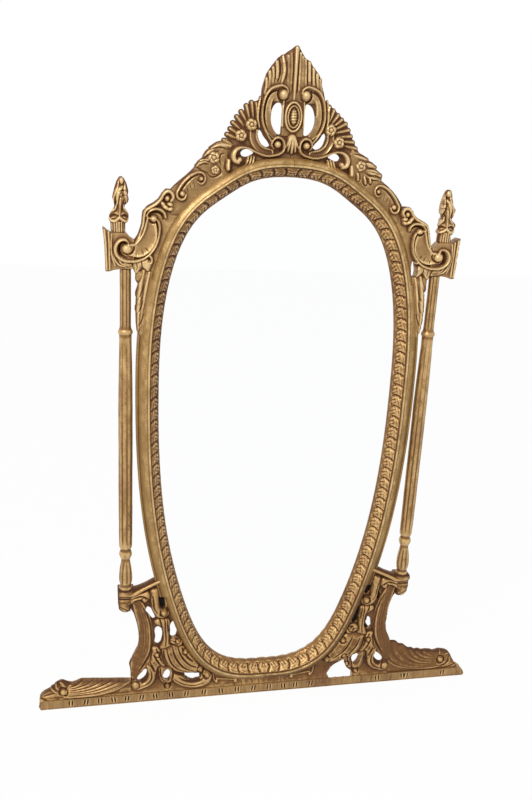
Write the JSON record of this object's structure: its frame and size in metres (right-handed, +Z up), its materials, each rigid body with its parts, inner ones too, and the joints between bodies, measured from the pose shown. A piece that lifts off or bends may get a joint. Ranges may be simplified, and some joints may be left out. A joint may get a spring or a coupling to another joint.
{
  "type": "floor mirror",
  "caption": "Carved and gilded floor mirror: an egg-shaped mirror tied to turned columns by scroll brackets, with a pierced crest and carved feet on one long rail.",
  "frame": {"origin": "on the floor, on the middle line of the mirror, in the plane of the column axes", "axes": "+Z up, +X to the right of a viewer in front of the glass, +Y towards the back"},
  "size_m": [1.293, 0.086, 1.788],
  "materials": {
    "gilt_wood": "aged gold leaf over red-brown bole, satin, worn on the edges",
    "gilt_liner": "darker, redder gold leaf, satin",
    "mirror_silver": "silvered plate glass",
    "back_wood": "raw brown softwood, matt",
    "beech_dowel": "raw beech, matt",
    "brass_button": "dull brass",
    "steel_fitting": "dull plated steel"
  },
  "bodies": {
    "stand": {"frame_top_left": "gilt_wood", "frame_top_right": "gilt_wood", "frame_side_left": "gilt_wood", "frame_side_right": "gilt_wood", "frame_bottom_left": "gilt_wood", "frame_bottom_right": "gilt_wood", "crest_panel": "gilt_wood", "crest_cabochon": "gilt_wood", "crest_wing_left": "gilt_wood", "crest_wing_right": "gilt_wood", "shoulder_bracket_left": "gilt_wood", "shoulder_bracket_right": "gilt_wood", "leaf_drop_left": "gilt_wood", "leaf_drop_right": "gilt_wood", "finial_left": "gilt_wood", "finial_right": "gilt_wood", "column_left": "gilt_wood", "column_right": "gilt_wood", "base_rail": "gilt_wood", "foot_cap_left": "gilt_wood", "foot_cap_right": "gilt_wood", "foot_panel_left": "gilt_wood", "foot_panel_right": "gilt_wood", "base_wing_left": "gilt_wood", "base_wing_right": "gilt_wood", "liner_top": "gilt_liner", "liner_left": "gilt_liner", "liner_bottom": "gilt_liner", "liner_right": "gilt_liner", "mirror_glass": "mirror_silver", "back_board": "back_wood", "crest_cleat": "back_wood", "rear_foot_left": "back_wood", "rear_foot_right": "back_wood", "column_foot_dowel_left": "beech_dowel", "column_foot_dowel_right": "beech_dowel", "column_top_dowel_left": "beech_dowel", "column_top_dowel_right": "beech_dowel", "finial_dowel_left": "beech_dowel", "finial_dowel_right": "beech_dowel", "button_screw_top_left": "steel_fitting", "button_screw_top_right": "steel_fitting", "button_screw_middle_left": "steel_fitting", "button_screw_middle_right": "steel_fitting", "button_screw_bottom_left": "steel_fitting", "button_screw_bottom_right": "steel_fitting", "hanger_strap_left": "steel_fitting", "hanger_strap_right": "steel_fitting", "hanger_screw_upper_left": "steel_fitting", "hanger_screw_upper_right": "steel_fitting", "hanger_screw_lower_left": "steel_fitting", "hanger_screw_lower_right": "steel_fitting"},
    "turn_button_top_left": {"turn_button_top_left": "brass_button"},
    "turn_button_top_right": {"turn_button_top_right": "brass_button"},
    "turn_button_middle_left": {"turn_button_middle_left": "brass_button"},
    "turn_button_middle_right": {"turn_button_middle_right": "brass_button"},
    "turn_button_bottom_left": {"turn_button_bottom_left": "brass_button"},
    "turn_button_bottom_right": {"turn_button_bottom_right": "brass_button"},
    "hanger_ring_left": {"hanger_ring_left": "steel_fitting"},
    "hanger_ring_right": {"hanger_ring_right": "steel_fitting"}
  },
  "joints": [
    {"name": "turn_button_top_left_pivot", "type": "hinge", "parent": "stand", "child": "turn_button_top_left", "pos_m": [-0.21493, 0.0293, 1.42834], "axis": [0, 1, 0], "continuous": true},
    {"name": "turn_button_middle_left_pivot", "type": "hinge", "parent": "stand", "child": "turn_button_middle_left", "pos_m": [-0.34691, 0.0293, 0.99952], "axis": [0, 1, 0], "continuous": true},
    {"name": "turn_button_bottom_left_pivot", "type": "hinge", "parent": "stand", "child": "turn_button_bottom_left", "pos_m": [-0.21398, 0.0293, 0.16866], "axis": [0, 1, 0], "continuous": true},
    {"name": "turn_button_top_right_pivot", "type": "hinge", "parent": "stand", "child": "turn_button_top_right", "pos_m": [0.21493, 0.0293, 1.42834], "axis": [0, 1, 0], "continuous": true},
    {"name": "turn_button_middle_right_pivot", "type": "hinge", "parent": "stand", "child": "turn_button_middle_right", "pos_m": [0.34691, 0.0293, 0.99952], "axis": [0, 1, 0], "continuous": true},
    {"name": "turn_button_bottom_right_pivot", "type": "hinge", "parent": "stand", "child": "turn_button_bottom_right", "pos_m": [0.21398, 0.0293, 0.16866], "axis": [0, 1, 0], "continuous": true},
    {"name": "hanger_ring_left_swing", "type": "hinge", "parent": "stand", "child": "hanger_ring_left", "pos_m": [-0.343, 0.0315, 1.172], "axis": [1, 0, 0], "range_deg": [0, 170]},
    {"name": "hanger_ring_right_swing", "type": "hinge", "parent": "stand", "child": "hanger_ring_right", "pos_m": [0.343, 0.0315, 1.172], "axis": [1, 0, 0], "range_deg": [0, 170]}
  ]
}
